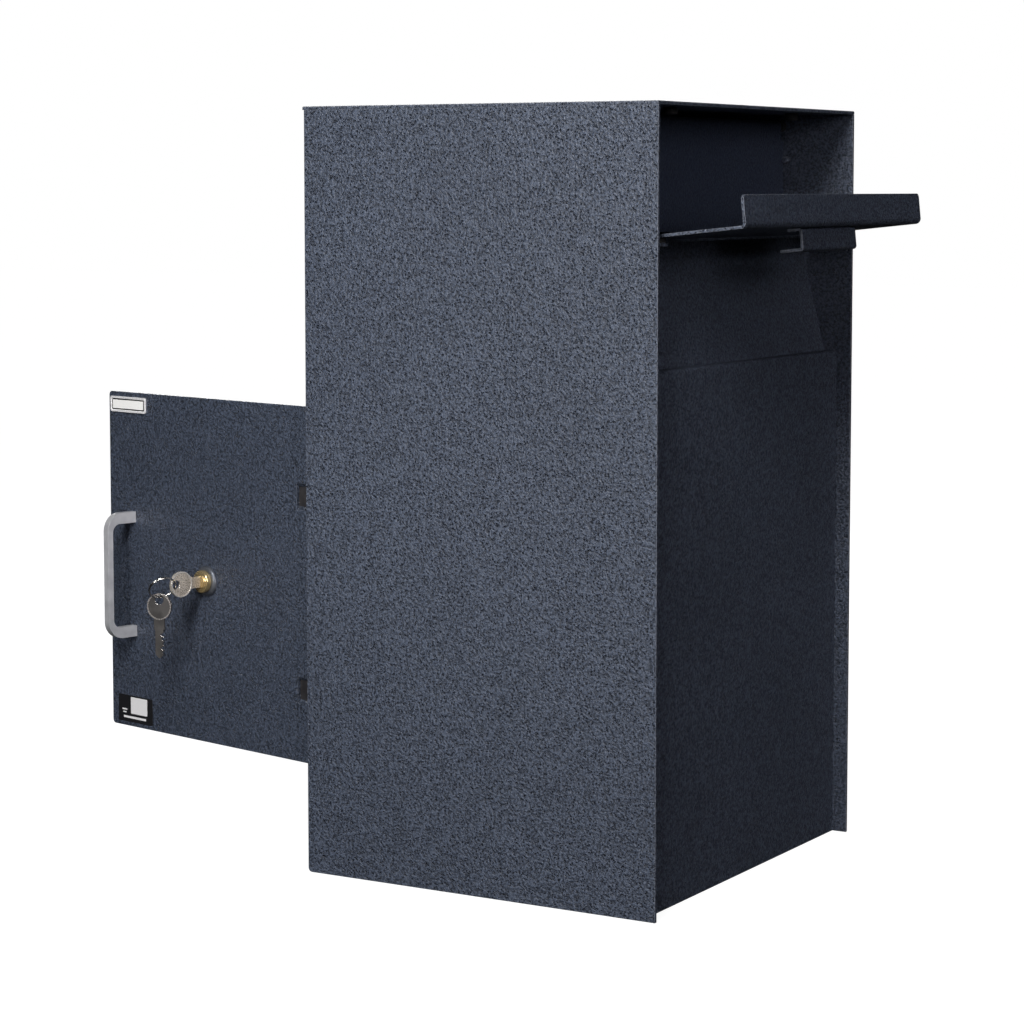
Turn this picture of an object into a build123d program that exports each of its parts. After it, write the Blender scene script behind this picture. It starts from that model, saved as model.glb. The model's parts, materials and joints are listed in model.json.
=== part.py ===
"""Parcel drop box with a drop-down hopper door and a rear access door.

The cabinet is welded from steel plate.  Parcels go in over the hopper door at the front, fall past a
hanging flap, and are taken out through a locked door at the back.  X is the width, the front faces -Y,
and Z is up.  The origin is the middle of the underside of the floor plate.  The model stands with the
hopper door down, the access door part open, and a key in its lock with a spare on the ring.
"""
import os
from math import cos, radians, sin, sqrt, tan

from build123d import *

os.makedirs("parts", exist_ok=True)

# ---------------------------------------------------------------- cabinet
cabinet_width = 394.0
cabinet_depth = 353.0
cabinet_height = 686.0
side_plate = 3.2
sheet = 2.7
side_corner_radius = 4.0
top_rear_overhang = 1.5

half_width = cabinet_width / 2
front_y = -cabinet_depth / 2
rear_y = cabinet_depth / 2
inner_x = half_width - side_plate
inner_width = 2 * inner_x
ceiling_z = cabinet_height - side_plate

# ---------------------------------------------------------------- front
front_recess = 14.0
ledge_below_sill = 109.8
ledge_step = 13.0
ledge_depth = 28.0
upper_lean = 13.8
sill_drop = 112.0
sill_depth = 13.5
bend_radius = 3.0

front_face_y = front_y + front_recess
upper_foot_y = front_face_y + ledge_step
sill_z = ceiling_z - sill_drop
ledge_height = sill_z - ledge_below_sill
sill_back_y = upper_foot_y + (sill_z - ledge_height) * tan(radians(upper_lean))
sill_front_y = sill_back_y - sill_depth

# ---------------------------------------------------------------- floor anchors
anchor_spacing_x = 260.0
anchor_spacing_y = 220.0
anchor_hole = 11.0

# ---------------------------------------------------------------- hopper door
hopper_side_gap = 10.0
hopper_open_tilt = 5.9
hopper_plate = 2.7
hopper_reach = 105.0
hopper_lip = 27.7
hopper_heel = 4.0
hopper_bend = 5.0
lip_corner = 4.0
pivot_behind_front = 30.0
pivot_below_sill = 5.6
ear_radius = 8.0
pivot_pin = 6.0
running_gap = 0.05
side_play = 0.3
clip_thick = 1.0
clip_width = 2.0
pin_tail = 3.0

hopper_half = inner_x - hopper_side_gap
pivot_y = front_y + pivot_behind_front
pivot_z = sill_z - pivot_below_sill
plate_above_pivot = pivot_pin / 2 + clip_width + 0.8

# ---------------------------------------------------------------- hopper pull
pull_width = 112.0
pull_plate = 2.7
pull_drop = 20.0
pull_return = 22.0
pull_setback = 10.0
pull_flange = 14.0

# ---------------------------------------------------------------- hopper stops
stop_inset = 13.0
stop_width = 12.0
stop_length = 24.0
stop_plate = 3.0
stop_leg = 14.0
bumper_height = 4.0
rest_gap = 0.3
top_bumper_dia = 12.0
top_bumper_height = 6.5
top_bumper_spacing = 240.0
top_bumper_behind_front = 29.0

# ---------------------------------------------------------------- hanging flap
flap_behind_front = 70.0
flap_sheet = 1.6
flap_rod = 6.0
flap_hem = flap_rod + 3
flap_rod_below_ceiling = 10.0
flap_side_gap = 3.0
flap_shoulder = 8.0
flap_shoulder_drop = 14.0
flap_floor_gap = 5.0
bush_dia = flap_rod + 6
bush_length = 6.5
flap_pin_dia = 6.0
flap_pin_length = 8.0
flap_pin_above_sill = 70.0

flap_face_y = front_y + flap_behind_front
flap_rod_y = flap_face_y + flap_hem / 2
flap_rod_z = ceiling_z - flap_rod_below_ceiling

# ---------------------------------------------------------------- access door
door_plate = 3.2
door_height = 323.5
door_bottom = 96.4
door_reach = 290.0
door_heel = 4.0
door_gap = 1.6
door_open = 76.7
door_corner = 4.0
barrel_dia = 9.0
hinge_inset = barrel_dia / 2 + 1

hinge_x = -inner_x + hinge_inset
hinge_y = rear_y
door_top = door_bottom + door_height
opening_right = hinge_x + door_reach + door_gap
opening_bottom = door_bottom - door_gap
opening_top = door_top + door_gap

# ---------------------------------------------------------------- hinges
hinge_pin = 5.0
hinge_height = 22.0
knuckle_play = 0.3
leaf_thick = 2.0
leaf_depth = 28.0
leaf_relief = barrel_dia / 2 + 2
hinge_notch_reach = 20.0
hinge_notch_play = 1.0
door_leaf_reach = 42.0
lower_hinge_up = 65.6
upper_hinge_below_top = 81.9
hinge_heights = {
    "lower": door_bottom + lower_hinge_up,
    "upper": door_top - upper_hinge_below_top,
}

# ---------------------------------------------------------------- door stops and strike
stop_strip = 3.0
stop_overlap = 10.0
stop_landing = 12.0
seal_gap = 0.3
strike_leg = 30.0
window_play = 1.5

# ---------------------------------------------------------------- lock and bolt
lock_body_dia = 19.0
lock_reach = 146.5
lock_height = 152.6
lock_head_dia = lock_body_dia + 2
lock_head_stand = 9.0
lock_body_back = 16.0
trim_dia = lock_body_dia + 9.7
trim_thick = 3.4
trim_lip = 1.4
nut_flats = lock_body_dia + 8
nut_thick = 5.0
plug_dia = 13.0
plug_proud = 0.4
plug_back = 19.0
tail_square = 7.0
cam_thick = 2.5
cam_hub = 16.0
cam_arm = 12.0
cam_width = 9.0
drive_pin_dia = 5.0
drive_pin_long = 6.0
cam_turn = 90.0
screw_head = 8.0
screw_thick = 2.6
screw_shank = 4.0
screw_grip = 2.5
keyway_back = 17.8
bolt_thick = 4.5
bolt_high = 20.0
bolt_above_axis = 6.0
bolt_cam_gap = 0.6
bolt_tip = door_reach - stop_overlap - 3
bolt_tail = lock_reach - 26.5
slot_play = 0.75
guide_wall = 3.0
guide_wide = 14.0
guide_play = 0.4
guide_places = (lock_reach + 49.5, bolt_tip - 19)

lock_z = door_bottom + lock_height

# ---------------------------------------------------------------- keys
key_thick = 2.2
blade_high = 8.3
keyway_high = blade_high + 0.6
keyway_wide = key_thick + 0.4
blade_tip = 4.0
neck_high = 10.5
neck_long = 9.2
shoulder_gap = 0.3
bow_dia = 24.0
bow_long = 25.0
key_hole = 2.5 * key_thick + 3.1
key_hole_edge = key_hole / 2 + 2
blade_in_lock = 26.4
ring_dia = 27.0
ring_wire = 1.7
ring_turn = 65.0
ring_dip = 8.6
ring_lean = 39.0
spare_twist = 47.0
hang_slack = 1.0

# ---------------------------------------------------------------- door handle
handle_reach = door_reach - 35
handle_height = 149.2
handle_centres = 110.0
handle_stand = 33.5
handle_grip = 6.0
handle_leg = 10.5
handle_wide = 7.0
handle_outer_bend = 17.0
handle_inner_bend = 8.0
handle_screw = 5.0
handle_screw_grip = 11.0
handle_screw_head = 9.5
handle_screw_head_thick = 3.0
hole_play = 0.5

# ---------------------------------------------------------------- door trim
label_long = 53.0
label_high = 15.0
label_thick = 1.4
label_rim = 1.8
label_card = 0.5
label_corner = 2.0
label_from_edge = 3.0
label_from_top = 4.5
sticker_long = 52.0
sticker_high = 26.0
sticker_thick = 0.3
sticker_corner = 1.5
sticker_from_edge = 9.0
sticker_from_bottom = 4.0
stiffener_size = 14.0
stiffener_wall = 2.0
stiffener_start = 48.0
stiffener_end = door_reach - 22
stiffener_inset = 32.0

# ---------------------------------------------------------------- working planes
side_view = Plane.YZ
hopper_tilt = radians(hopper_open_tilt)
hopper_plane = Plane(
    origin=(0, pivot_y, pivot_z),
    x_dir=(0, -cos(hopper_tilt), sin(hopper_tilt)),
    z_dir=(-1, 0, 0),
)
door_turn = radians(door_open)
door_along = Vector(cos(door_turn), sin(door_turn), 0)
door_inward = Vector(sin(door_turn), -cos(door_turn), 0)
door_outward = -door_inward
# local x runs from the hinge towards the free edge, local y is up, local z goes into the cabinet
door_plane = Plane(origin=(hinge_x, hinge_y, 0), x_dir=door_along, z_dir=door_inward)
lock_centre = Vector(hinge_x, hinge_y, lock_z) + door_along * lock_reach
# local x runs out of the lock, local y is up, local z runs along the door
key_plane = Plane(origin=lock_centre, x_dir=door_outward, z_dir=door_along)


def across(offset):
    """A plane square to X at this offset, with Y and Z as its own axes."""
    return side_view.offset(offset)


def door_depth(depth):
    """The door's plane moved inward from its outer face."""
    return door_plane.offset(depth)


def save(part, name):
    part.label = name
    export_step(part, f"parts/{name}.step")


# ================================================================ cabinet shell
for side, name in ((-1, "left_side_panel"), (1, "right_side_panel")):
    start = -half_width if side < 0 else inner_x
    with BuildPart() as side_panel:
        with BuildSketch(across(start)):
            with Locations((0, ceiling_z / 2)):
                Rectangle(cabinet_depth, ceiling_z)
        extrude(amount=side_plate)
        rear_bottom = side_panel.edges().filter_by(Axis.X).group_by(Axis.Z)[0].sort_by(Axis.Y)[-1]
        fillet(rear_bottom, side_corner_radius)
    save(side_panel.part, name)

with BuildPart() as top_plate:
    with BuildSketch(Plane.XY.offset(ceiling_z)):
        with Locations((0, top_rear_overhang / 2)):
            Rectangle(cabinet_width, cabinet_depth + top_rear_overhang)
    extrude(amount=side_plate)
    rim = top_plate.faces().sort_by(Axis.Z)[-1].edges()
    chamfer(rim, 0.6)
save(top_plate.part, "top_plate")

floor_front = front_face_y + sheet
floor_rear = rear_y - door_plate
with BuildPart() as floor_plate:
    with BuildSketch(Plane.XY):
        with Locations((0, (floor_front + floor_rear) / 2)):
            Rectangle(inner_width, floor_rear - floor_front)
        with GridLocations(anchor_spacing_x, anchor_spacing_y, 2, 2):
            Circle(anchor_hole / 2, mode=Mode.SUBTRACT)
    extrude(amount=sheet)
save(floor_plate.part, "floor_plate")

# lower front sheet: a flat face with its top edge folded in as a ledge
with BuildPart() as front_panel:
    with BuildSketch(across(-inner_x)):
        with BuildLine():
            Polyline(
                (front_face_y, 0),
                (front_face_y, ledge_height),
                (front_face_y + ledge_depth, ledge_height),
                (front_face_y + ledge_depth, ledge_height - sheet),
                (front_face_y + sheet, ledge_height - sheet),
                (front_face_y + sheet, 0),
                close=True,
            )
        make_face()
    extrude(amount=inner_width)
    outer_bend = front_panel.edges().filter_by(Axis.X).group_by(Axis.Z)[-1].sort_by(Axis.Y)[0]
    fillet(outer_bend, bend_radius)
save(front_panel.part, "front_panel")

# leaning upper front sheet, folded forward at the top as the hopper sill
lean_slope = tan(radians(upper_lean))
lean_wide = sheet / cos(radians(upper_lean))
under_sill = sill_z - sheet
with BuildPart() as upper_front_panel:
    with BuildSketch(across(-inner_x)):
        with BuildLine():
            Polyline(
                (upper_foot_y, ledge_height),
                (upper_foot_y + (under_sill - ledge_height) * lean_slope, under_sill),
                (sill_front_y, under_sill),
                (sill_front_y, sill_z),
                (sill_back_y + lean_wide, sill_z),
                (upper_foot_y + lean_wide, ledge_height),
                close=True,
            )
        make_face()
    extrude(amount=inner_width)
    sill_bend = upper_front_panel.edges().filter_by(Axis.X).group_by(Axis.Z)[-1].sort_by(Axis.Y)[-1]
    fillet(sill_bend, bend_radius)
save(upper_front_panel.part, "upper_front_panel")

# rear sheet, cut away on the hinge side for the access door
with BuildPart() as rear_panel:
    with BuildSketch(Plane.XZ.offset(-rear_y)):
        with Locations((0, ceiling_z / 2)):
            Rectangle(inner_width, ceiling_z)
        opening_wide = opening_right + inner_x
        with Locations((-inner_x + opening_wide / 2, (opening_bottom + opening_top) / 2)):
            Rectangle(opening_wide, opening_top - opening_bottom, mode=Mode.SUBTRACT)
    extrude(amount=door_plate)
    mouth_corners = rear_panel.edges().filter_by(Axis.Y).filter_by(
        lambda edge: abs(edge.center().X - opening_right) < 0.01
    )
    fillet(mouth_corners, door_corner)
save(rear_panel.part, "rear_panel")

# ================================================================ door stops and strike
stop_face_y = rear_y - door_plate


def stop_outline(edge, sense):
    """A stop strip's section: u runs along the rear, v into the cabinet.

    The part behind the rear panel touches it, and the part behind the door stands back by the seal gap.
    """
    return [
        (edge + sense * stop_landing, 0),
        (edge, 0),
        (edge, seal_gap),
        (edge - sense * (stop_overlap + door_gap), seal_gap),
        (edge - sense * (stop_overlap + door_gap), stop_strip),
        (edge + sense * stop_landing, stop_strip),
    ]


strip_left = hinge_x + 2 * door_heel
strip_right = opening_right + stop_landing
for name, edge, sense in (
    ("upper_door_stop", opening_top, 1),
    ("lower_door_stop", opening_bottom, -1),
):
    with BuildPart() as door_stop:
        with BuildSketch(across(strip_left)):
            with BuildLine():
                Polyline(
                    *[(stop_face_y - depth, height) for height, depth in stop_outline(edge, sense)],
                    close=True,
                )
            make_face()
        extrude(amount=strip_right - strip_left)
    save(door_stop.part, name)

bolt_low = lock_z + bolt_above_axis
cam_face = plug_back + cam_thick
bolt_near = cam_face + bolt_cam_gap
strike_low = opening_bottom + stop_overlap + door_gap
strike_high = opening_top - stop_overlap - door_gap
strike_edge = opening_right - stop_overlap - door_gap
with BuildPart() as strike_angle:
    with BuildSketch(Plane.XY.offset(strike_low)):
        with BuildLine():
            Polyline(
                (opening_right + stop_landing, stop_face_y),
                (opening_right, stop_face_y),
                (opening_right, stop_face_y - seal_gap),
                (strike_edge, stop_face_y - seal_gap),
                (strike_edge, stop_face_y - strike_leg),
                (strike_edge + stop_strip, stop_face_y - strike_leg),
                (strike_edge + stop_strip, stop_face_y - stop_strip),
                (opening_right + stop_landing, stop_face_y - stop_strip),
                close=True,
            )
        make_face()
    extrude(amount=strike_high - strike_low)
    window_depth = bolt_near + bolt_thick / 2
    with BuildSketch(across(strike_edge)):
        with Locations((rear_y - window_depth, bolt_low + bolt_high / 2)):
            Rectangle(bolt_thick + 2 * window_play, bolt_high + 2 * window_play)
    extrude(amount=stop_strip, mode=Mode.SUBTRACT)
save(strike_angle.part, "strike_angle")

# ================================================================ door hinges
knuckle = (hinge_height - 2 * knuckle_play) / 3
door_knuckle_low = knuckle + knuckle_play
leaf_low_x = -inner_x
for level, middle in hinge_heights.items():
    base = middle - hinge_height / 2
    upper_knuckle = base + hinge_height - knuckle
    with BuildPart() as cabinet_leaf:
        with BuildSketch(Plane.XY.offset(base)):
            with Locations((hinge_x, hinge_y)):
                Circle(barrel_dia / 2)
        extrude(amount=knuckle)
        with BuildSketch(Plane.XY.offset(upper_knuckle)):
            with Locations((hinge_x, hinge_y)):
                Circle(barrel_dia / 2)
        extrude(amount=knuckle)
        with BuildSketch(Plane.XY.offset(base)):
            with Locations((leaf_low_x + leaf_thick / 2, hinge_y - leaf_depth / 2)):
                Rectangle(leaf_thick, leaf_depth)
        extrude(amount=hinge_height)
        with BuildSketch(Plane.XY.offset(base + knuckle)):
            with Locations((leaf_low_x + leaf_thick / 2, hinge_y - leaf_relief / 2)):
                Rectangle(leaf_thick, leaf_relief)
        extrude(amount=hinge_height - 2 * knuckle, mode=Mode.SUBTRACT)
        with Locations(Location((hinge_x, hinge_y, base))):
            Cylinder(
                hinge_pin / 2,
                hinge_height,
                align=(Align.CENTER, Align.CENTER, Align.MIN),
                mode=Mode.SUBTRACT,
            )
    save(cabinet_leaf.part, f"{level}_hinge_cabinet_leaf")

    with BuildPart() as pin:
        with BuildSketch(Plane.XY.offset(base)):
            with Locations((hinge_x, hinge_y)):
                Circle(hinge_pin / 2)
        extrude(amount=hinge_height)
        chamfer(pin.faces().sort_by(Axis.Z)[-1].edges(), 0.5)
        chamfer(pin.faces().sort_by(Axis.Z)[0].edges(), 0.5)
    save(pin.part, f"{level}_hinge_pin")

    with BuildPart() as door_leaf:
        with BuildSketch(Plane.XY.offset(base + door_knuckle_low)):
            with Locations((hinge_x, hinge_y)):
                Circle(barrel_dia / 2)
        extrude(amount=knuckle)
        with BuildSketch(door_depth(door_plate)):
            with Locations(((leaf_relief + door_leaf_reach) / 2, middle)):
                Rectangle(door_leaf_reach - leaf_relief, hinge_height)
            with Locations((leaf_relief / 2, middle)):
                Rectangle(leaf_relief, knuckle)
        extrude(amount=leaf_thick)
        with Locations(Location((hinge_x, hinge_y, base))):
            Cylinder(
                hinge_pin / 2 + running_gap,
                hinge_height,
                align=(Align.CENTER, Align.CENTER, Align.MIN),
                mode=Mode.SUBTRACT,
            )
    save(door_leaf.part, f"{level}_hinge_door_leaf")

# ================================================================ access door
handle_z = door_bottom + handle_height
screw_heights = [handle_z - handle_centres / 2, handle_z + handle_centres / 2]
with BuildPart() as door_panel:
    with BuildSketch(door_plane):
        with Locations(((door_reach - door_heel) / 2, (door_bottom + door_top) / 2)):
            Rectangle(door_reach + door_heel, door_height)
        for middle in hinge_heights.values():
            with Locations(((hinge_notch_reach - door_heel) / 2, middle)):
                Rectangle(
                    hinge_notch_reach + door_heel,
                    hinge_height + 2 * hinge_notch_play,
                    mode=Mode.SUBTRACT,
                )
        with Locations((lock_reach, lock_z)):
            Circle(lock_body_dia / 2, mode=Mode.SUBTRACT)
        with Locations(*[(handle_reach, height) for height in screw_heights]):
            Circle((handle_screw + hole_play) / 2, mode=Mode.SUBTRACT)
    extrude(amount=door_plate)
    corner_edges = door_panel.edges().filter_by(
        lambda edge: abs(edge.length - door_plate) < 0.01
        and abs(door_plane.to_local_coords(edge.center()).X - door_reach) < 0.01
    )
    fillet(corner_edges, door_corner)
save(door_panel.part, "door_panel")

with BuildPart() as door_stiffeners:
    for height, sense in ((door_bottom + stiffener_inset, 1), (door_top - stiffener_inset, -1)):
        with BuildSketch(door_depth(door_plate)):
            with Locations(((stiffener_start + stiffener_end) / 2, height)):
                Rectangle(stiffener_end - stiffener_start, stiffener_size)
        extrude(amount=stiffener_wall)
        rib_height = height + sense * (stiffener_size - stiffener_wall) / 2
        with BuildSketch(door_depth(door_plate)):
            with Locations(((stiffener_start + stiffener_end) / 2, rib_height)):
                Rectangle(stiffener_end - stiffener_start, stiffener_wall)
        extrude(amount=stiffener_size)
save(door_stiffeners.part, "door_stiffeners")

# ---------------------------------------------------------------- pull handle
# section of the handle: x out from the door, y up
handle_plane = Plane(
    origin=Vector(hinge_x, hinge_y, handle_z) + door_along * handle_reach,
    x_dir=door_outward,
    z_dir=door_along,
)
handle_tall = handle_centres + handle_leg
opening_tall = handle_centres - handle_leg
with BuildPart() as pull_handle:
    with BuildSketch(handle_plane.offset(-handle_wide / 2)):
        with Locations((handle_stand / 2, 0)):
            Rectangle(handle_stand, handle_tall)
        with Locations(((handle_stand - handle_grip) / 2, 0)):
            Rectangle(handle_stand - handle_grip, opening_tall, mode=Mode.SUBTRACT)
    extrude(amount=handle_wide)
    for out, up, bend in (
        (handle_stand, handle_tall / 2, handle_outer_bend),
        (handle_stand - handle_grip, opening_tall / 2, handle_inner_bend),
    ):
        bends = pull_handle.edges().filter_by(
            lambda edge: abs(edge.length - handle_wide) < 0.01
            and abs(handle_plane.to_local_coords(edge.center()).X - out) < 0.01
            and abs(abs(handle_plane.to_local_coords(edge.center()).Y) - up) < 0.01
        )
        fillet(bends, bend)
    for end in (-1, 1):
        foot = handle_plane.from_local_coords(Vector(0, end * handle_centres / 2, 0))
        with Locations(Location(Plane(origin=foot, z_dir=door_outward))):
            Cylinder(
                handle_screw / 2,
                handle_screw_grip,
                align=(Align.CENTER, Align.CENTER, Align.MIN),
                mode=Mode.SUBTRACT,
            )
save(pull_handle.part, "pull_handle")

with BuildPart() as handle_screws:
    for height in screw_heights:
        with BuildSketch(door_depth(door_plate)):
            with Locations((handle_reach, height)):
                Circle(handle_screw_head / 2)
        extrude(amount=handle_screw_head_thick)
        with BuildSketch(door_depth(door_plate)):
            with Locations((handle_reach, height)):
                Circle(handle_screw / 2)
        extrude(amount=-(door_plate + handle_screw_grip - hole_play))
save(handle_screws.part, "handle_screws")

# ---------------------------------------------------------------- label, sticker
label_middle = (
    door_reach - label_from_edge - label_long / 2,
    door_top - label_from_top - label_high / 2,
)
card_long = label_long - 2 * label_rim
card_high = label_high - 2 * label_rim
with BuildPart() as label_holder:
    with BuildSketch(door_plane):
        with Locations(label_middle):
            RectangleRounded(label_long, label_high, label_corner)
    extrude(amount=-label_thick)
    with BuildSketch(door_depth(-label_thick)):
        with Locations(label_middle):
            RectangleRounded(card_long, card_high, label_corner - 1)
    extrude(amount=2 * label_card, mode=Mode.SUBTRACT)
save(label_holder.part, "label_holder")

with BuildPart() as label_card_part:
    with BuildSketch(door_depth(2 * label_card - label_thick)):
        with Locations(label_middle):
            RectangleRounded(card_long, card_high, label_corner - 1)
    extrude(amount=-label_card)
save(label_card_part.part, "label_card")

with BuildPart() as sticker:
    with BuildSketch(door_plane):
        with Locations(
            (
                door_reach - sticker_from_edge - sticker_long / 2,
                door_bottom + sticker_from_bottom + sticker_high / 2,
            )
        ):
            RectangleRounded(sticker_long, sticker_high, sticker_corner)
    extrude(amount=-sticker_thick)
save(sticker.part, "sticker")

# ================================================================ lock
lock_spot = (lock_reach, lock_z)


def turned(outer, start, length, bore=0.0):
    """A round piece on the lock's axis, from a depth behind the door's face (negative is outside)."""
    with BuildPart() as piece:
        with BuildSketch(door_depth(start)):
            with Locations(lock_spot):
                Circle(outer / 2)
                if bore > 0:
                    Circle(bore / 2, mode=Mode.SUBTRACT)
        extrude(amount=length)
    return piece.part


plug_bore = plug_dia + 2 * running_gap
with BuildPart() as lock_body:
    add(turned(lock_head_dia, -lock_head_stand, lock_head_stand - trim_thick))
    add(turned(lock_body_dia, -trim_thick, trim_thick + lock_body_back))
    add(turned(plug_bore, -lock_head_stand, lock_head_stand + lock_body_back), mode=Mode.SUBTRACT)
    face_edges = lock_body.edges().filter_by(GeomType.CIRCLE).filter_by(
        lambda edge: abs(edge.radius - lock_head_dia / 2) < 0.01
        and door_plane.to_local_coords(edge.center()).Z < -lock_head_stand + 0.01
    )
    fillet(face_edges, 1.2)
save(lock_body.part, "lock_body")

with BuildPart() as lock_trim_ring:
    add(turned(trim_dia, -trim_thick, trim_thick, lock_body_dia))
    trim_edge = lock_trim_ring.edges().filter_by(GeomType.CIRCLE).filter_by(
        lambda edge: abs(edge.radius - trim_dia / 2) < 0.01
        and door_plane.to_local_coords(edge.center()).Z < -trim_thick + 0.01
    )
    chamfer(trim_edge, trim_lip)
save(lock_trim_ring.part, "lock_trim_ring")

with BuildPart() as lock_nut:
    with BuildSketch(door_depth(door_plate)):
        with Locations(lock_spot):
            RegularPolygon(nut_flats / 2, 6, major_radius=False)
            Circle(lock_body_dia / 2, mode=Mode.SUBTRACT)
    extrude(amount=nut_thick)
save(lock_nut.part, "lock_nut")

with BuildPart() as lock_plug:
    add(turned(plug_dia, -lock_head_stand - plug_proud, lock_head_stand + plug_proud + plug_back))
    with BuildSketch(door_depth(plug_back)):
        with Locations(lock_spot):
            Rectangle(tail_square, tail_square)
    extrude(amount=cam_thick)
    with BuildSketch(door_depth(-lock_head_stand - plug_proud)):
        with Locations(lock_spot):
            Rectangle(keyway_wide, keyway_high)
    extrude(amount=lock_head_stand + plug_proud + keyway_back, mode=Mode.SUBTRACT)
    with BuildSketch(door_depth(cam_face)):
        with Locations(lock_spot):
            Circle(screw_shank / 2)
    extrude(amount=-screw_grip, mode=Mode.SUBTRACT)
save(lock_plug.part, "lock_plug")

# at rest the cam's arm points up and back towards the hinge, half a turn's swing before upright
arm_angle = 90 + cam_turn / 2
pin_spot = (
    lock_reach + cam_arm * cos(radians(arm_angle)),
    lock_z + cam_arm * sin(radians(arm_angle)),
)
with BuildPart() as lock_cam:
    with BuildSketch(door_depth(plug_back)):
        with Locations(lock_spot):
            Circle(cam_hub / 2)
        with Locations(pin_spot):
            Circle(cam_width / 2)
        arm_middle = ((lock_spot[0] + pin_spot[0]) / 2, (lock_spot[1] + pin_spot[1]) / 2, 0)
        with Locations(Location(arm_middle, (0, 0, arm_angle))):
            Rectangle(cam_arm, cam_width)
        with Locations(lock_spot):
            Rectangle(tail_square, tail_square, mode=Mode.SUBTRACT)
        with Locations(pin_spot):
            Circle(drive_pin_dia / 2, mode=Mode.SUBTRACT)
    extrude(amount=cam_thick)
save(lock_cam.part, "lock_cam")

with BuildPart() as drive_pin:
    with BuildSketch(door_depth(plug_back)):
        with Locations(pin_spot):
            Circle(drive_pin_dia / 2)
    extrude(amount=cam_thick + drive_pin_long)
save(drive_pin.part, "drive_pin")

with BuildPart() as cam_screw:
    add(turned(screw_head, cam_face, screw_thick))
    add(turned(screw_shank, cam_face - screw_grip, screw_grip))
save(cam_screw.part, "cam_screw")

# ---------------------------------------------------------------- bolt bar and its guides
slot_wide = drive_pin_dia + 2 * slot_play
bolt_middle = bolt_low + bolt_high / 2
slot_top = cam_arm + drive_pin_dia / 2 + slot_play
with BuildPart() as bolt_bar:
    with BuildSketch(door_depth(bolt_near)):
        with Locations(((bolt_tail + bolt_tip) / 2, bolt_middle)):
            Rectangle(bolt_tip - bolt_tail, bolt_high)
        with Locations((pin_spot[0], (bolt_low + lock_z + slot_top) / 2)):
            Rectangle(slot_wide, lock_z + slot_top - bolt_low, mode=Mode.SUBTRACT)
    extrude(amount=bolt_thick)
    tip_edges = bolt_bar.edges().filter_by(
        lambda edge: abs(edge.length - bolt_thick) < 0.01
        and abs(door_plane.to_local_coords(edge.center()).X - bolt_tip) < 0.01
    )
    chamfer(tip_edges, 2)
save(bolt_bar.part, "bolt_bar")

# each guide is a strap folded round the bolt and stood off the door on two legs
window_near = bolt_near - guide_play
window_far = bolt_near + bolt_thick + guide_play
window_low = bolt_low - guide_play
window_high = bolt_low + bolt_high + guide_play
guide_low = window_low - guide_wall
guide_high = window_high + guide_wall
with BuildPart() as bolt_guides:
    for place in guide_places:
        start = place - guide_wide / 2
        guide_plane = Plane(
            origin=Vector(hinge_x, hinge_y, 0) + door_along * start,
            x_dir=door_inward,
            z_dir=-door_along,
        )
        with BuildSketch(guide_plane):
            with Locations(((door_plate + window_far + guide_wall) / 2, (guide_low + guide_high) / 2)):
                Rectangle(window_far + guide_wall - door_plate, guide_high - guide_low)
            with Locations(((window_near + window_far) / 2, (window_low + window_high) / 2)):
                Rectangle(window_far - window_near, window_high - window_low, mode=Mode.SUBTRACT)
            with Locations(((door_plate + window_near - guide_wall) / 2, (window_low + window_high) / 2)):
                Rectangle(
                    window_near - guide_wall - door_plate,
                    window_high - window_low,
                    mode=Mode.SUBTRACT,
                )
        extrude(amount=-guide_wide)
save(bolt_guides.part, "bolt_guides")

# ================================================================ keys
face_out = lock_head_stand + plug_proud
bow_near = face_out + shoulder_gap + neck_long
bow_middle = bow_near + bow_long / 2
hole_out = bow_near + bow_long - key_hole_edge


def key_shape(plane, sense=1.0):
    """A flat key lying in this plane, with x running out of the lock and y across the blade."""
    with BuildPart() as piece:
        with BuildSketch(plane.offset(-key_thick / 2)):
            with Locations((bow_middle, 0)):
                Ellipse(bow_long / 2, bow_dia / 2)
            with Locations(((face_out + shoulder_gap + bow_middle) / 2, 0)):
                Rectangle(bow_middle - face_out - shoulder_gap, neck_high)
            with BuildLine():
                Polyline(
                    (face_out + shoulder_gap, blade_high / 2),
                    (face_out - blade_in_lock + blade_tip, blade_high / 2),
                    (face_out - blade_in_lock, 0),
                    (face_out - blade_in_lock + blade_tip, -blade_high / 2),
                    (face_out + shoulder_gap, -blade_high / 2),
                    close=True,
                )
            make_face()
            with Locations((hole_out, 0)):
                Circle(key_hole / 2, mode=Mode.SUBTRACT)
        extrude(amount=key_thick)
    return piece.part


with BuildPart() as lock_key:
    add(key_shape(key_plane))
save(lock_key.part, "lock_key")

# the ring's centre stands out from the hole, turned from the door's line and dipping a little, and its
# plane leans, so that the wire slants through the hole
ring_out = door_along * cos(radians(ring_turn)) + door_outward * sin(radians(ring_turn))
up = Vector(0, 0, 1)
ring_mean = (ring_dia - ring_wire) / 2
hole_point = lock_centre + door_outward * hole_out
dip = radians(ring_dip)
lean = radians(ring_lean)
ring_reach = ring_out * cos(dip) - up * sin(dip)
ring_rise = (up * cos(dip) + ring_out * sin(dip)) * cos(lean) - ring_out.cross(up) * sin(lean)
ring_centre = hole_point + ring_reach * ring_mean
ring_face = ring_reach.cross(ring_rise)
ring_plane = Plane(origin=ring_centre, x_dir=ring_reach, z_dir=ring_face)
with BuildPart() as key_ring:
    with Locations(Location(ring_plane)):
        Torus(ring_mean, ring_wire / 2)
save(key_ring.part, "key_ring")

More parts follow.
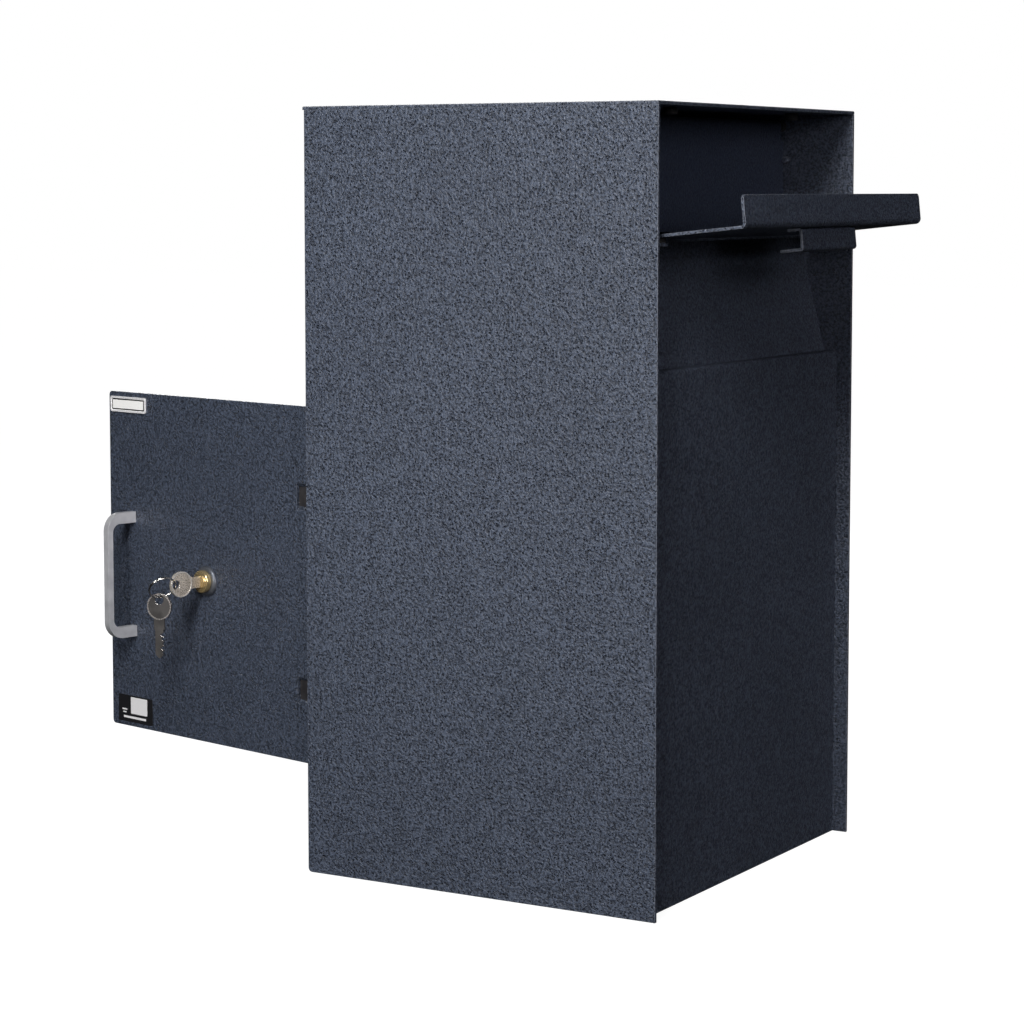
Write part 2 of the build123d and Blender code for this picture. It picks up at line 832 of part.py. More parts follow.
# the spare hangs from the ring's lowest point, turned about the vertical from the wire's direction there
low_reach = -ring_reach.Z / sqrt(ring_reach.Z**2 + ring_rise.Z**2)
low_rise = -ring_rise.Z / sqrt(ring_reach.Z**2 + ring_rise.Z**2)
spare_point = ring_centre + (ring_reach * low_reach + ring_rise * low_rise) * ring_mean
low_wire = ring_rise * low_reach - ring_reach * low_rise
spare_across = low_wire.rotate(Axis.Z, spare_twist).normalized()
# the wire crosses the hole at a slant, so it seats short of the hole's edge by the hang slack
spare_drop = (key_hole - ring_wire) / 2 - hang_slack
spare_plane = Plane(origin=spare_point - up * (hole_out + spare_drop), x_dir=up, z_dir=spare_across)
with BuildPart() as spare_key:
    add(key_shape(spare_plane))
save(spare_key.part, "spare_key")

# ================================================================ hopper door
plate_top = plate_above_pivot + hopper_plate
lip_top = plate_above_pivot + hopper_lip
with BuildPart() as hopper_door:
    with BuildSketch(hopper_plane.offset(-hopper_half)):
        with BuildLine():
            Polyline(
                (-hopper_heel, plate_above_pivot),
                (hopper_reach, plate_above_pivot),
                (hopper_reach, lip_top),
                (hopper_reach - hopper_plate, lip_top),
                (hopper_reach - hopper_plate, plate_top),
                (-hopper_heel, plate_top),
                close=True,
            )
        make_face()
    extrude(amount=2 * hopper_half)
    for reach, height, bend in (
        (hopper_reach, plate_above_pivot, hopper_bend),
        (hopper_reach - hopper_plate, plate_top, hopper_bend - hopper_plate),
    ):
        folds = hopper_door.edges().filter_by(Axis.X).filter_by(
            lambda edge: abs(hopper_plane.to_local_coords(edge.center()).X - reach) < 0.01
            and abs(hopper_plane.to_local_coords(edge.center()).Y - height) < 0.01
        )
        fillet(folds, bend)
    lip_ends = hopper_door.edges().filter_by(
        lambda edge: abs(edge.length - hopper_plate) < 0.01
        and abs(hopper_plane.to_local_coords(edge.center()).Y - lip_top) < 0.01
    )
    fillet(lip_ends, lip_corner)
    for side in (-1, 1):
        near = hopper_half - hopper_plate if side > 0 else -hopper_half
        with BuildSketch(hopper_plane.offset(near)):
            Circle(ear_radius)
            with Locations((0, (plate_above_pivot + hopper_plate / 2) / 2)):
                Rectangle(2 * hopper_heel, plate_above_pivot + hopper_plate / 2)
            Circle(pivot_pin / 2 + running_gap, mode=Mode.SUBTRACT)
        extrude(amount=hopper_plate)
save(hopper_door.part, "hopper_door")

# the pull is an angle under the plate: a web square to the plate, then a flange folded back inwards
pull_under = plate_above_pivot
pull_front = hopper_reach - pull_setback
with BuildPart() as hopper_pull:
    with BuildSketch(hopper_plane.offset(-pull_width / 2)):
        with BuildLine():
            Polyline(
                (pull_front - pull_flange, pull_under),
                (pull_front, pull_under),
                (pull_front, pull_under - pull_drop),
                (pull_front - pull_return, pull_under - pull_drop),
                (pull_front - pull_return, pull_under - pull_drop + pull_plate),
                (pull_front - pull_plate, pull_under - pull_drop + pull_plate),
                (pull_front - pull_plate, pull_under - pull_plate),
                (pull_front - pull_flange, pull_under - pull_plate),
                close=True,
            )
        make_face()
    extrude(amount=pull_width)
    for corner in ((pull_front, pull_under - pull_drop), (pull_front, pull_under)):
        folds = hopper_pull.edges().filter_by(Axis.X).filter_by(
            lambda edge: abs(hopper_plane.to_local_coords(edge.center()).X - corner[0]) < 0.01
            and abs(hopper_plane.to_local_coords(edge.center()).Y - corner[1]) < 0.01
        )
        fillet(folds, bend_radius)
save(hopper_pull.part, "hopper_pull")

# ================================================================ hopper pivots and stops
with BuildPart() as pivot_blocks:
    for side in (-1, 1):
        with BuildSketch(across(side * inner_x)):
            with Locations((pivot_y, pivot_z)):
                Circle(ear_radius)
                Circle(pivot_pin / 2, mode=Mode.SUBTRACT)
        extrude(amount=-side * (hopper_side_gap - side_play))
save(pivot_blocks.part, "hopper_pivot_blocks")

clip_outer = hopper_half - hopper_plate - side_play
pin_length = inner_x - clip_outer + clip_thick + pin_tail
with BuildPart() as pivot_pins:
    for side in (-1, 1):
        with BuildSketch(across(side * inner_x)):
            with Locations((pivot_y, pivot_z)):
                Circle(pivot_pin / 2)
        extrude(amount=-side * pin_length)
save(pivot_pins.part, "hopper_pivot_pins")

with BuildPart() as pivot_clips:
    for side in (-1, 1):
        with BuildSketch(across(side * clip_outer)):
            with Locations((pivot_y, pivot_z)):
                Circle(pivot_pin / 2 + clip_width)
                Circle(pivot_pin / 2, mode=Mode.SUBTRACT)
        extrude(amount=-side * clip_thick)
save(pivot_clips.part, "hopper_pivot_clips")

# stop brackets are angles welded to the sides, set parallel to the open hopper door
bumper_top = plate_above_pivot - rest_gap
bracket_top = bumper_top - bumper_height
stop_from = stop_inset
with BuildPart() as stop_brackets:
    for side in (-1, 1):
        near = -inner_x if side < 0 else inner_x - stop_length
        wall = -inner_x if side < 0 else inner_x - stop_plate
        with BuildSketch(hopper_plane.offset(near)):
            with Locations((stop_from + stop_width / 2, bracket_top - stop_plate / 2)):
                Rectangle(stop_width, stop_plate)
        extrude(amount=stop_length)
        with BuildSketch(hopper_plane.offset(wall)):
            with Locations((stop_from + stop_width / 2, bracket_top - stop_leg / 2)):
                Rectangle(stop_width, stop_leg)
        extrude(amount=stop_plate)
save(stop_brackets.part, "hopper_stop_brackets")

with BuildPart() as stop_bumpers:
    for side in (-1, 1):
        bumper_long = stop_length - hopper_side_gap
        near = -inner_x + hopper_side_gap if side < 0 else inner_x - stop_length
        with BuildSketch(hopper_plane.offset(near)):
            with Locations((stop_from + stop_width / 2, bumper_top - bumper_height / 2)):
                Rectangle(stop_width - 2, bumper_height)
        extrude(amount=bumper_long)
save(stop_bumpers.part, "hopper_stop_bumpers")

with BuildPart() as top_bumpers:
    with BuildSketch(Plane.XY.offset(ceiling_z)):
        with Locations((0, front_y + top_bumper_behind_front)):
            with GridLocations(top_bumper_spacing, 0, 2, 1):
                Circle(top_bumper_dia / 2)
    extrude(amount=-top_bumper_height)
    chamfer(top_bumpers.faces().sort_by(Axis.Z)[0:2].edges(), 1)
save(top_bumpers.part, "hopper_top_bumpers")

# ================================================================ hanging flap
with BuildPart() as rod:
    with BuildSketch(across(-inner_x)):
        with Locations((flap_rod_y, flap_rod_z)):
            Circle(flap_rod / 2)
    extrude(amount=inner_width)
save(rod.part, "flap_rod")

with BuildPart() as rod_bushes:
    for side in (-1, 1):
        with BuildSketch(across(side * inner_x)):
            with Locations((flap_rod_y, flap_rod_z)):
                Circle(bush_dia / 2)
                Circle(flap_rod / 2, mode=Mode.SUBTRACT)
        extrude(amount=-side * bush_length)
save(rod_bushes.part, "flap_rod_bushes")

flap_half = inner_x - flap_side_gap
hem_half = inner_x - flap_shoulder
flap_bottom = sill_z + flap_floor_gap
shoulder_z = flap_rod_z - flap_shoulder_drop
with BuildPart() as flap:
    with BuildSketch(Plane.XZ.offset(-flap_face_y)):
        with Locations((0, (flap_bottom + shoulder_z) / 2)):
            Rectangle(2 * flap_half, shoulder_z - flap_bottom)
        with Locations((0, (shoulder_z + flap_rod_z) / 2)):
            Rectangle(2 * hem_half, flap_rod_z - shoulder_z)
    extrude(amount=-flap_sheet)
    with BuildSketch(across(-hem_half)):
        with Locations((flap_rod_y, flap_rod_z)):
            Circle(flap_hem / 2)
    extrude(amount=2 * hem_half)
    with BuildSketch(across(-hem_half)):
        with Locations((flap_rod_y, flap_rod_z)):
            Circle(flap_rod / 2 + running_gap)
    extrude(amount=2 * hem_half, mode=Mode.SUBTRACT)
save(flap.part, "security_flap")

with BuildPart() as flap_pins:
    for side in (-1, 1):
        pin_y = flap_face_y - rest_gap - flap_pin_dia / 2
        with BuildSketch(across(side * inner_x)):
            with Locations((pin_y, sill_z + flap_pin_above_sill)):
                Circle(flap_pin_dia / 2)
        extrude(amount=-side * flap_pin_length)
save(flap_pins.part, "flap_stop_pins")
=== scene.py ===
import json
import math

import bmesh
import bpy
from mathutils import Matrix, Vector
from mathutils.geometry import tessellate_polygon


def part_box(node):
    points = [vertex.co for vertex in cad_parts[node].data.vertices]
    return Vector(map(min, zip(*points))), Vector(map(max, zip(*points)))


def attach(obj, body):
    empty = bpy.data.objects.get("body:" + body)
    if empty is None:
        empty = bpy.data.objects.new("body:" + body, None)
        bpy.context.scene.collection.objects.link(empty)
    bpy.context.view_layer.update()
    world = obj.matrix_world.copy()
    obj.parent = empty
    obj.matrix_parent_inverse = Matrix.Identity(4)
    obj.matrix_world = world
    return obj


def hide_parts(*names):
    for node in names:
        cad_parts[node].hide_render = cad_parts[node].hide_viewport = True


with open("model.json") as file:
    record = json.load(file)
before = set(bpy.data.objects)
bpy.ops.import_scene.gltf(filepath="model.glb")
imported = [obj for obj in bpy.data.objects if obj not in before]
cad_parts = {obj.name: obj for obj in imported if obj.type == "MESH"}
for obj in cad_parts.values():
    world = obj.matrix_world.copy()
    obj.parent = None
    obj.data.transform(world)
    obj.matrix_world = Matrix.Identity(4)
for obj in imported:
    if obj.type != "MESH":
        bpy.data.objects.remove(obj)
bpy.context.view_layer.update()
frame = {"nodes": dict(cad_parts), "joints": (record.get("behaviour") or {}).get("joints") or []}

# ==================================================================== welded shell
# Two sides, a top and a rear with the doorway, cut from 3.2 mm steel plate, and a floor of thinner sheet.
# They are welded, then sprayed inside and out with a blue-grey powder that bakes to a pebbled skin. The cut
# edges are coloured paler, partly for powder pulled thin there and partly as a painted highlight along them.


class Finish:
    """A surface being made up: its node tree, its shader, and short ways to add nodes to it."""

    def __init__(self, name, metallic=0.0, specular=0.5):
        self.material = bpy.data.materials.new(name)
        self.material.use_nodes = True
        self.tree = self.material.node_tree
        self.shader = self.tree.nodes["Principled BSDF"]
        self.shader.inputs["Metallic"].default_value = metallic
        self.shader.inputs["Specular IOR Level"].default_value = specular
        self.where = self.tree.nodes.new("ShaderNodeTexCoord").outputs["Object"]

    def link(self, source, target):
        self.tree.links.new(source, target)

    def along(self, turn, scale):
        """The object's own coordinates turned about Z and stretched, for brushed and drawn metal."""
        node = self.tree.nodes.new("ShaderNodeMapping")
        node.vector_type = "TEXTURE"
        node.inputs["Rotation"].default_value = (0, 0, turn)
        node.inputs["Scale"].default_value = scale
        self.link(self.where, node.inputs["Vector"])
        return node.outputs["Vector"]

    def grain(self, scale, detail=2.0, rough=0.5, where=None):
        node = self.tree.nodes.new("ShaderNodeTexNoise")
        node.inputs["Scale"].default_value = scale
        node.inputs["Detail"].default_value = detail
        node.inputs["Roughness"].default_value = rough
        self.link(where or self.where, node.inputs["Vector"])
        return node.outputs["Fac"]

    def pebbles(self, scale, smooth):
        node = self.tree.nodes.new("ShaderNodeTexVoronoi")
        node.feature = "SMOOTH_F1"
        node.inputs["Scale"].default_value = scale
        node.inputs["Smoothness"].default_value = smooth
        self.link(self.where, node.inputs["Vector"])
        return node.outputs["Distance"]

    def spread(self, value, low, high, to_low=0.0, to_high=1.0):
        node = self.tree.nodes.new("ShaderNodeMapRange")
        for socket, number in zip(("From Min", "From Max", "To Min", "To Max"), (low, high, to_low, to_high)):
            node.inputs[socket].default_value = number
        self.link(value, node.inputs["Value"])
        return node.outputs["Result"]

    def sum(self, first, second, how="ADD"):
        node = self.tree.nodes.new("ShaderNodeMath")
        node.operation = how
        self.link(first, node.inputs[0])
        self.link(second, node.inputs[1])
        return node.outputs["Value"]

    def blend(self, share, first, second):
        node = self.tree.nodes.new("ShaderNodeMix")
        node.data_type = "RGBA"
        self.link(share, node.inputs[0])
        for socket, colour in ((node.inputs[6], first), (node.inputs[7], second)):
            if isinstance(colour, tuple):
                socket.default_value = (*colour, 1.0)
            else:
                self.link(colour, socket)
        return node.outputs[2]

    def raised(self, height, distance, strength=1.0):
        node = self.tree.nodes.new("ShaderNodeBump")
        node.inputs["Distance"].default_value = distance
        node.inputs["Strength"].default_value = strength
        self.link(height, node.inputs["Height"])
        self.link(node.outputs["Normal"], self.shader.inputs["Normal"])

    def done(self, colour, rough):
        self.link(colour, self.shader.inputs["Base Color"])
        self.link(rough, self.shader.inputs["Roughness"])
        return self.material


def powder(name, light, dark, pit, lift):
    """Baked powder: pale pebbles over darker valleys, with scattered pits where the skin is open."""
    skin = Finish(name)
    pebble = skin.grain(440.0, 2.5, 0.62)
    pits = skin.pebbles(400.0, 0.3)
    drift = skin.spread(skin.grain(7.0), 0.3, 0.7, 0.0, 0.18)
    tone = skin.blend(skin.spread(pebble, 0.37, 0.62), dark, light)
    tone = skin.blend(drift, tone, dark)
    open_pit = skin.spread(skin.sum(pits, skin.grain(330.0), "MULTIPLY"), 0.05, 0.17, 1.0, 0.0)
    tone = skin.blend(open_pit, tone, pit)
    skin.raised(skin.sum(pebble, open_pit, "SUBTRACT"), 0.0012, lift)
    return skin.done(tone, skin.spread(pebble, 0.3, 0.7, 0.52, 0.34))


powder_coat = powder("powder_coat", (0.070, 0.087, 0.126), (0.014, 0.019, 0.031), (0.010, 0.013, 0.021), 1.0)
# The edge coat is paler than the skin: partly powder pulled thin at the edges, partly a painted highlight
# along them.
edge_thinning_and_highlight = powder("edge_thinning_and_highlight", (0.108, 0.121, 0.152), (0.054, 0.063, 0.084), (0.030, 0.036, 0.050), 0.4)


def ease_edges(shown, rounding, steps, edge_highlight_slot):
    """Edges sharper than a rolled bend are rounded off in the last coat given, which on most pieces is paler:
    a painted highlight where edges catch light.
    """
    eased = shown.modifiers.new("eased edges", "BEVEL")
    eased.width = rounding
    eased.segments = steps
    eased.limit_method = "ANGLE"
    eased.angle_limit = math.radians(38)
    eased.material = edge_highlight_slot
    even = shown.modifiers.new("even shading", "WEIGHTED_NORMAL")
    even.keep_sharp = False


def finish_node(name, *coats, rounding=0.0005, steps=2):
    """A piece of the frame gets its finish, and its cut edges are eased so that they catch the light,
    coloured with the last coat, a painted highlight where that coat is paler.
    """
    node = frame["nodes"][name]
    node.data.materials.clear()
    for coat in coats:
        node.data.materials.append(coat)
    joined = node.modifiers.new("joined corners", "WELD")
    joined.merge_threshold = 0.00001
    whole = node.modifiers.new("whole faces", "DECIMATE")
    whole.decimate_type = "DISSOLVE"
    whole.angle_limit = math.radians(0.4)
    ease_edges(node, rounding, steps, len(coats) - 1)


for plate in ("left_side_panel", "right_side_panel", "top_plate", "rear_panel", "floor_plate"):
    finish_node(plate, powder_coat, edge_thinning_and_highlight)

# ==================================================================== front sheets
# Thinner sheet closes the front: a flat lower face folded in at the top, and a leaning upper face folded
# forward as the sill under the mouth. Both are set back between the sides and welded from the inside.
finish_node("front_panel", powder_coat, edge_thinning_and_highlight, rounding=0.0004)
finish_node("upper_front_panel", powder_coat, rounding=0.0004)

# ==================================================================== stitch welds
# Short runs of wire weld inside the corners hold the sheets, the stops and the hinge leaves. Each bead is
# a row of overlapping scallops, and the powder goes over it with the rest.
bead_radius = 0.0024
bead_pitch = 0.0021
bead_sides = 10


def piece(name, verts, faces, body, slot, coats, rounding=None, steps=2, stands_for=()):
    """A new piece from plain vertices and faces, with eased edges, riding on one of the frame's bodies."""
    mesh = bpy.data.meshes.new(name)
    build = bmesh.new()
    made = [build.verts.new(v) for v in verts]
    for face in faces:
        build.faces.new([made[i] for i in face])
    bmesh.ops.remove_doubles(build, verts=build.verts, dist=1e-7)
    bmesh.ops.recalc_face_normals(build, faces=build.faces)
    build.to_mesh(mesh)
    build.free()
    mesh.polygons.foreach_set("use_smooth", [True] * len(mesh.polygons))
    for coat in coats:
        mesh.materials.append(coat)
    shown = bpy.data.objects.new(name, mesh)
    bpy.context.scene.collection.objects.link(shown)
    if rounding:
        ease_edges(shown, rounding, steps, len(coats) - 1)
    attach(shown, body)
    if stands_for:
        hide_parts(*stands_for)


def swept(points, radii, sides):
    """A round tube along points, with a radius at each, closed at both ends."""
    verts, faces = [], []
    last = len(points) - 1
    side = None
    for i, point in enumerate(points):
        ahead = (points[min(i + 1, last)] - points[max(i - 1, 0)]).normalized()
        if side is None:
            side = Vector((0, 0, 1)) if abs(ahead.z) < 0.9 else Vector((1, 0, 0))
        side = (side - ahead * side.dot(ahead)).normalized()
        other = ahead.cross(side)
        for k in range(sides):
            turn = 2 * math.pi * k / sides
            verts.append(point + side * math.cos(turn) * radii[i] + other * math.sin(turn) * radii[i])
    for i in range(last):
        for k in range(sides):
            a, b = i * sides + k, i * sides + (k + 1) % sides
            faces.append((a, b, b + sides, a + sides))
    faces.append(tuple(range(sides)))
    faces.append(tuple(last * sides + k for k in range(sides)))
    return verts, faces


def joined(*shapes):
    """Several shapes as one list of vertices and one of faces."""
    verts, faces = [], []
    for some, flat in shapes:
        faces += [tuple(i + len(verts) for i in face) for face in flat]
        verts += some
    return verts, faces


def bead(start, end):
    """One stitch of weld: the radius swells at each scallop, and tails off at both ends."""
    start, end = Vector(start), Vector(end)
    long = (end - start).length
    steps = max(8, int(long / bead_pitch * 4))
    points, radii = [], []
    for i in range(steps + 1):
        s = i / steps
        points.append(start.lerp(end, s))
        tail = min(1.0, 6 * min(s, 1 - s) + 0.25)
        radii.append(bead_radius * tail * (0.86 + 0.14 * abs(math.sin(math.pi * s * long / bead_pitch))))
    return swept(points, radii, bead_sides)


side_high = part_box("left_side_panel")[1]
wall_x, ceiling = side_high.x, side_high.z
front_sheet = 0.0027
sheet_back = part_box("front_panel")[0].y + front_sheet
rear_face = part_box("rear_panel")[0].y
floor_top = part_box("floor_plate")[1].z
wall_stitch, ceiling_stitch, cross_stitch = 0.028, 0.026, 0.030
beads = []
for wall in (wall_x, -wall_x):
    for height in (0.06, 0.17, 0.28, 0.39):
        beads.append(bead((wall, sheet_back, height), (wall, sheet_back, height + wall_stitch)))
    for height in (0.50, 0.61):
        beads.append(bead((wall, rear_face, height), (wall, rear_face, height + wall_stitch)))
    for depth in (0.0112, 0.0156):
        beads.append(bead((wall, depth, floor_top), (wall, depth + wall_stitch, floor_top)))
    for depth in (-0.15, -0.06, 0.05, 0.13):
        beads.append(bead((wall, depth, ceiling), (wall, depth + ceiling_stitch, ceiling)))
for along in (-0.13, 0.0, 0.11):
    beads.append(bead((along, sheet_back, floor_top), (along + cross_stitch, sheet_back, floor_top)))
    beads.append(bead((along, rear_face, ceiling), (along + cross_stitch, rear_face, ceiling)))
piece("stitch_welds", *joined(*beads), "cabinet", "powder_coat", [powder_coat])

# ==================================================================== door stops and strike
# Flat strips and an angle behind the rear plate stop the access door, and the angle's window takes the
# bolt. They are cut from 3 mm strip and welded to the rear plate before powder.
for strip in ("upper_door_stop", "lower_door_stop", "strike_angle"):
    finish_node(strip, powder_coat, edge_thinning_and_highlight, rounding=0.0004)

# ==================================================================== hopper door
# The drop-down door is one sheet folded up along its front edge as a lip, with rounded ends, and an ear
# welded on at each side. An angle under it is the pull. All are powdered with the cabinet.
finish_node("hopper_door", powder_coat, edge_thinning_and_highlight)
finish_node("hopper_pull", powder_coat, edge_thinning_and_highlight, rounding=0.0006, steps=3)

# ==================================================================== hopper pivots and stops
# The door turns on two bright pins through welded blocks, held by spring clips. Small angles on the sides
# carry rubber blocks that it lands on, and two rubber buttons under the top meet its lip when it is shut.
for block in ("hopper_pivot_blocks", "hopper_stop_brackets"):
    finish_node(block, powder_coat, edge_thinning_and_highlight, rounding=0.0004)


def plated(name, light, dark, low, high, metallic=1.0, where=None):
    """Bare or plated metal: faint clouds in its colour, and a fine haze of rub marks in its polish."""
    skin = Finish(name, metallic=metallic)
    haze = skin.grain(900.0, 4.0, 0.6, where(skin) if where else None)
    cloud = skin.grain(70.0)
    skin.raised(haze, 0.00005, 0.3)
    return skin.done(
        skin.blend(skin.spread(cloud, 0.35, 0.65), dark, light),
        skin.spread(haze, 0.3, 0.7, low, high),
    )


zinc_plate = plated("zinc_plate", (0.66, 0.66, 0.64), (0.47, 0.47, 0.46), 0.26, 0.48)
bright_steel = plated("bright_steel", (0.74, 0.73, 0.71), (0.58, 0.57, 0.55), 0.12, 0.26)
for steel in ("hopper_pivot_pins", "hopper_pivot_clips"):
    finish_node(steel, bright_steel, rounding=0.0003)

rubber_skin = Finish("rubber", specular=0.3)
rubber_grain = rubber_skin.grain(1200.0, 3.0)
rubber_skin.raised(rubber_grain, 0.0002, 0.4)
rubber = rubber_skin.done(
    rubber_skin.blend(rubber_grain, (0.010, 0.010, 0.011), (0.030, 0.030, 0.032)),
    rubber_skin.spread(rubber_grain, 0.3, 0.7, 0.62, 0.82),
)
for soft in ("hopper_stop_bumpers", "hopper_top_bumpers"):
    finish_node(soft, rubber, rounding=0.0008, steps=3)

# ==================================================================== hanging flap
# A light steel flap hangs behind the mouth from a rod, so that nothing can be fished back out. The rod
# turns in moulded bushes, and two pins on the sides stop the flap from swinging outwards.
# The flap's powder is painted darker and bluer than the cabinet's: painted shade for the dark mouth it hangs
# in.
flap_shade_powder = powder("flap_shade_powder", (0.028, 0.038, 0.066), (0.012, 0.017, 0.032), (0.006, 0.009, 0.017), 0.5)
finish_node("security_flap", flap_shade_powder, edge_thinning_and_highlight, rounding=0.0003)
finish_node("flap_stop_pins", powder_coat, edge_thinning_and_highlight, rounding=0.0004)
finish_node("flap_rod", zinc_plate, rounding=0.0002)
finish_node("flap_rod_bushes", rubber, rounding=0.0005)

# ==================================================================== access door
# The rear door is a flat plate notched round the hinges, with two folded stiffeners spot-welded across
# its back. It is powdered on both faces like the cabinet.
finish_node("door_panel", powder_coat, edge_thinning_and_highlight)
finish_node("door_stiffeners", powder_coat, edge_thinning_and_highlight, rounding=0.0004)

joints = {joint["name"]: joint for joint in frame["joints"]}
hinge = Vector(joints["door_hinge"]["pos_m"])
door_along = Vector(joints["bolt_slide"]["axis"]).normalized()
door_inward = -Vector(joints["lock_turn"]["axis"]).normalized()
door_plate = 0.0032


def door_frame(reach, height, depth):
    """Axes at a spot on the door: x towards its free edge, y up, z into the cabinet."""
    spot = Vector((hinge.x, hinge.y, height)) + door_along * reach + door_inward * depth
    up = Vector((0, 0, 1))
    return Matrix((
        (door_along.x, up.x, door_inward.x, spot.x),
        (door_along.y, up.y, door_inward.y, spot.y),
        (door_along.z, up.z, door_inward.z, spot.z),
        (0, 0, 0, 1),
    ))


def on_door(node):
    """How far a door piece's middle is from the hinge, and how high it is."""
    low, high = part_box(node)
    middle = (low + high) / 2
    return (middle - hinge).dot(door_along), middle.z


# ==================================================================== hinges
# Each hinge is two steel leaves with rolled knuckles round a headed pin, welded to the side plate and to
# the back of the door. They are left as oiled steel and have darkened.
oiled_steel = plated("oiled_steel", (0.060, 0.057, 0.060), (0.026, 0.025, 0.028), 0.42, 0.62, metallic=0.6)
for level in ("upper", "lower"):
    finish_node(f"{level}_hinge_cabinet_leaf", oiled_steel, rounding=0.0004)
    finish_node(f"{level}_hinge_door_leaf", oiled_steel, rounding=0.0004)
    finish_node(f"{level}_hinge_pin", bright_steel, rounding=0.0003)
leaf_beads = []
door_beads = []
for level in ("upper", "lower"):
    leaf_low, leaf_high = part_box(f"{level}_hinge_cabinet_leaf")
    for height in (leaf_low.z, leaf_high.z):
        leaf_beads.append(bead((wall_x, leaf_low.y + 0.004, height), (wall_x, leaf_low.y + 0.018, height)))
    leaf_low, leaf_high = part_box(f"{level}_hinge_door_leaf")
    for height in (leaf_low.z, leaf_high.z):
        spot = door_frame(0.0, height, door_plate + 0.001)
        door_beads.append(bead(spot @ Vector((0.009, 0, 0)), spot @ Vector((0.038, 0, 0))))
piece("hinge_leaf_welds", *joined(*leaf_beads), "cabinet", "powder_coat", [powder_coat])
piece("door_leaf_welds", *joined(*door_beads), "access_door", "powder_coat", [powder_coat])

# ==================================================================== pull handle
# A bow handle of satin anodised aluminium, bent from rounded bar, stands off the door near its free edge.
# Two cross-recessed pan-head screws come through the door from behind into its feet.
brushed = plated(
    "handle_aluminium", (0.66, 0.67, 0.70), (0.52, 0.53, 0.56), 0.30, 0.44, metallic=0.5,
    where=lambda skin: skin.along(0.0, (1.0, 1.0, 14.0)),
)
finish_node("pull_handle", brushed, rounding=0.0016, steps=4)


def ring_of(radius, count):
    """Points evenly round a circle."""
    turns = [2 * math.pi * k / count for k in range(count)]
    return [(radius * math.cos(turn), radius * math.sin(turn)) for turn in turns]


def cut_sheet(place, outline, low, high, holes=()):
    """A flat piece cut to an outline in x and y, with holes, from one depth to another."""
    loops = [list(outline)] + [list(hole) for hole in holes]
    flat = [point for loop in loops for point in loop]
    fill = tessellate_polygon([[Vector((x, y, 0)) for x, y in loop] for loop in loops])
    count = len(flat)
    verts = [place @ Vector((x, y, low)) for x, y in flat] + [place @ Vector((x, y, high)) for x, y in flat]
    faces = [tuple(three) for three in fill] + [tuple(i + count for i in reversed(three)) for three in fill]
    first = 0
    for loop in loops:
        size = len(loop)
        for k in range(size):
            a, b = first + k, first + (k + 1) % size
            faces.append((a, b, b + count, a + count))
        first += size
    return verts, faces


def spun(place, profile, count=48):
    """A turned piece: a closed outline of radius and depth, taken round the z axis of its place."""
    verts, faces = [], []
    size = len(profile)
    for k in range(count):
        turn = 2 * math.pi * k / count
        for radius, depth in profile:
            verts.append(place @ Vector((radius * math.cos(turn), radius * math.sin(turn), depth)))
    for k in range(count):
        for i in range(size):
            a, b = k * size + i, k * size + (i + 1) % size
            c, d = (k + 1) % count * size + (i + 1) % size, (k + 1) % count * size + i
            faces.append((a, b, c, d))
    return verts, faces


def cross_recess(reach, arm):
    """The outline of a cross-head driver's recess."""
    return [
        (reach, -arm), (reach, arm), (arm, arm), (arm, reach), (-arm, reach), (-arm, arm),
        (-reach, arm), (-reach, -arm), (-arm, -arm), (-arm, -reach), (arm, -reach), (arm, -arm),
    ]


def pan_head(place, radius, thick):
    """A pan head: a domed rim round a cross recess that stops at the head's own floor."""
    crown = spun(place, [
        (radius * 0.45, thick * 0.35), (radius * 0.98, thick * 0.0), (radius, thick * 0.12),
        (radius * 0.97, thick * 0.55), (radius * 0.82, thick * 0.86), (radius * 0.62, thick),
        (radius * 0.45, thick),
    ], 40)
    recess = cross_recess(radius * 0.36, radius * 0.09)
    face = cut_sheet(place, ring_of(radius * 0.46, 40), thick * 0.35, thick, [recess])
    floor_of_head = cut_sheet(place, ring_of(radius * 0.6, 40), 0.0, thick * 0.36)
    return joined(crown, face, floor_of_head)


screw_head = 0.00475
screw_low, screw_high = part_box("handle_screws")
for where, height in (("upper", screw_high.z - screw_head), ("lower", screw_low.z + screw_head)):
    spot = door_frame(on_door("handle_screws")[0], height, door_plate)
    head = pan_head(spot, screw_head, 0.003)
    shank = cut_sheet(spot, ring_of(0.0025, 24), -0.0142, 0.0002)
    piece(f"{where}_handle_screw", *joined(head, shank), "access_door", "bright_steel", [zinc_plate],
          rounding=0.0001, steps=1, stands_for=("handle_screws",))

# ==================================================================== label holder and sticker
# A stamped bright frame near the door's top corner holds a blank white card, with a thin black frame laid
# round the card's edge. A black vinyl sticker with a plain white panel is pressed on at the bottom corner.
label_metal = plated("label_metal", (0.90, 0.90, 0.92), (0.80, 0.80, 0.82), 0.22, 0.36, metallic=0.3)
finish_node("label_holder", label_metal, rounding=0.0002)


def paper(name, light, dark, low, high):
    """Card or vinyl: a very fine fibre in its colour and its sheen."""
    skin = Finish(name, specular=0.4)
    fibre = skin.grain(1500.0, 4.0, 0.6)
    skin.raised(fibre, 0.00004, 0.3)
    tone = skin.blend(skin.spread(fibre, 0.3, 0.7), dark, light)
    return skin.done(tone, skin.spread(fibre, 0.3, 0.7, low, high))


